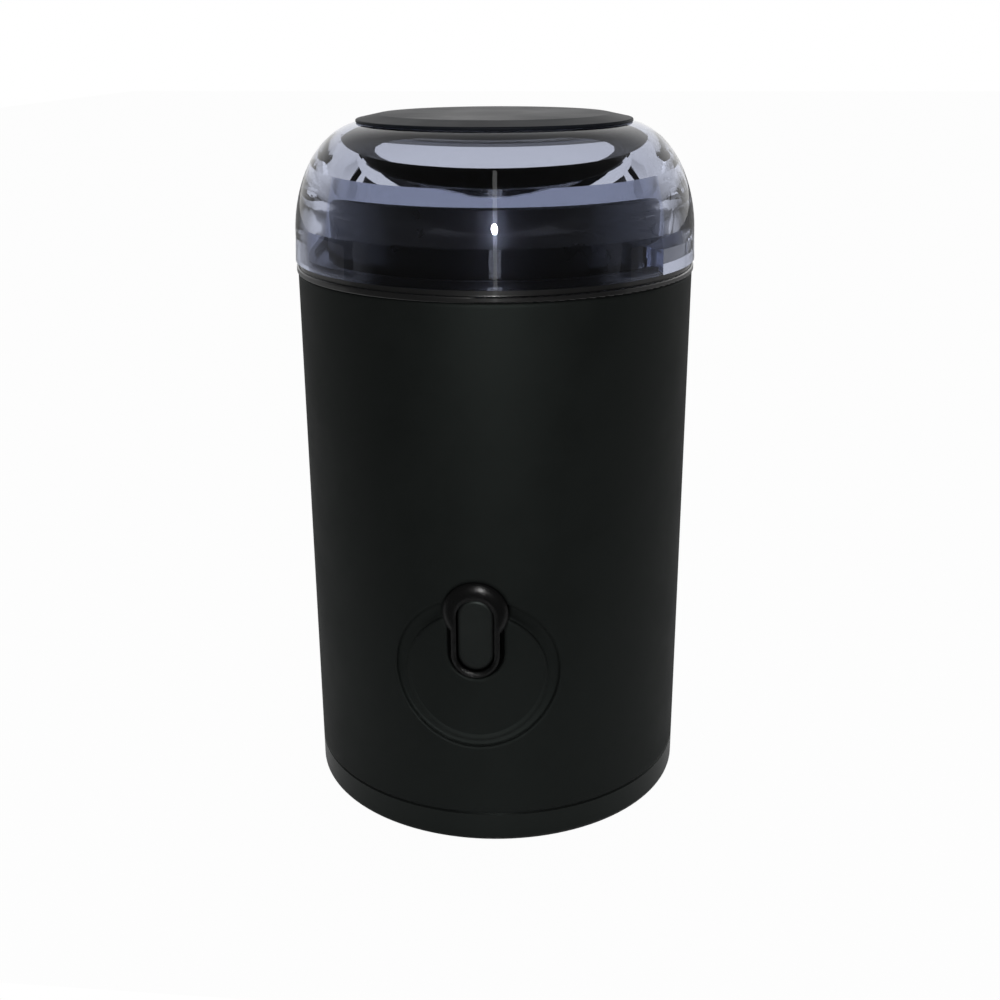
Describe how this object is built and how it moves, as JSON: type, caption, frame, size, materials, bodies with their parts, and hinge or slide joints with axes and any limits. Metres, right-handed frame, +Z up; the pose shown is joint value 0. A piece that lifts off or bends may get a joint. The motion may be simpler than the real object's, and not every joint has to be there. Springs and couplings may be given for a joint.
{
  "type": "electric coffee grinder",
  "caption": "Upright electric blade coffee grinder: matte black tube body with a front start button, steel bowl and blade under a clear domed lid with a black cap.",
  "frame": {"origin": "centre of the circle of feet, on the surface that the feet stand on", "axes": "+Z up along the motor shaft, -Y is the front with the start button, +X is the side of the lid tongue"},
  "size_m": [0.0948, 0.0965, 0.1674],
  "materials": {
    "shell_black": "matte",
    "base_black": "satin",
    "gloss_black": "gloss",
    "button_black": "matte",
    "lid_clear": "clear gloss",
    "cap_black": "satin",
    "bowl_steel": "brushed",
    "bright_steel": "plain",
    "rubber_black": "matte",
    "copper": "enamelled wire",
    "lamination": "laminated",
    "cast_aluminium": "cast",
    "bronze": "sintered",
    "white_nylon": "moulded",
    "switch_black": "moulded",
    "carbon": "sintered"
  },
  "bodies": {
    "body": {"body_shell": "shell_black", "base_cover": "base_black", "bowl_housing": "gloss_black", "button_bezel": "gloss_black", "grinding_bowl": "bowl_steel", "motor_bolts": "bright_steel", "motor_nuts": "bright_steel", "mount_screws": "bright_steel", "housing_screws": "bright_steel", "bracket_screws": "bright_steel", "base_screws": "bright_steel", "button_spring": "bright_steel", "interlock_spring": "bright_steel", "brush_springs": "bright_steel", "rubber_feet": "rubber_black", "cord_gland": "rubber_black", "motor_mounts": "rubber_black", "shaft_seal": "rubber_black", "field_coils": "copper", "stator_core": "lamination", "upper_bracket": "cast_aluminium", "lower_bracket": "cast_aluminium", "upper_bearing": "bronze", "lower_bearing": "bronze", "brush_holders": "white_nylon", "switch_bracket": "white_nylon", "start_switch": "switch_black", "interlock_switch": "switch_black", "carbon_brushes": "carbon"},
    "lid": {"lid_shell": "lid_clear", "lid_cap": "cap_black"},
    "button": {"start_button": "button_black"},
    "rotor": {"motor_shaft": "bright_steel", "armature_core": "lamination", "armature_windings": "copper", "commutator": "copper", "cooling_fan": "white_nylon", "thrust_washers": "bright_steel", "grinding_blade": "bowl_steel", "blade_nut": "bowl_steel"},
    "plunger": {"interlock_plunger": "white_nylon"}
  },
  "joints": [
    {"name": "lid_lift", "type": "slide", "parent": "body", "child": "lid", "axis": [0, 0, 1], "range_m": [0, 0.04]},
    {"name": "button_press", "type": "slide", "parent": "body", "child": "button", "axis": [0, 1, 0], "range_m": [0, 0.0025], "stiffness_N_per_m": 400, "springref_m": -0.002, "deforming": ["button_spring"]},
    {"name": "rotor_spin", "type": "hinge", "parent": "body", "child": "rotor", "pos_m": [0, 0, 0.1], "axis": [0, 0, 1], "continuous": true},
    {"name": "plunger_rise", "type": "slide", "parent": "body", "child": "plunger", "axis": [0, 0, 1], "range_m": [0, 0.0025], "deforming": ["interlock_spring"]}
  ],
  "couplings": [
    {"joint": "plunger_rise", "follows": "lid_lift", "ratio": 0.0625}
  ]
}
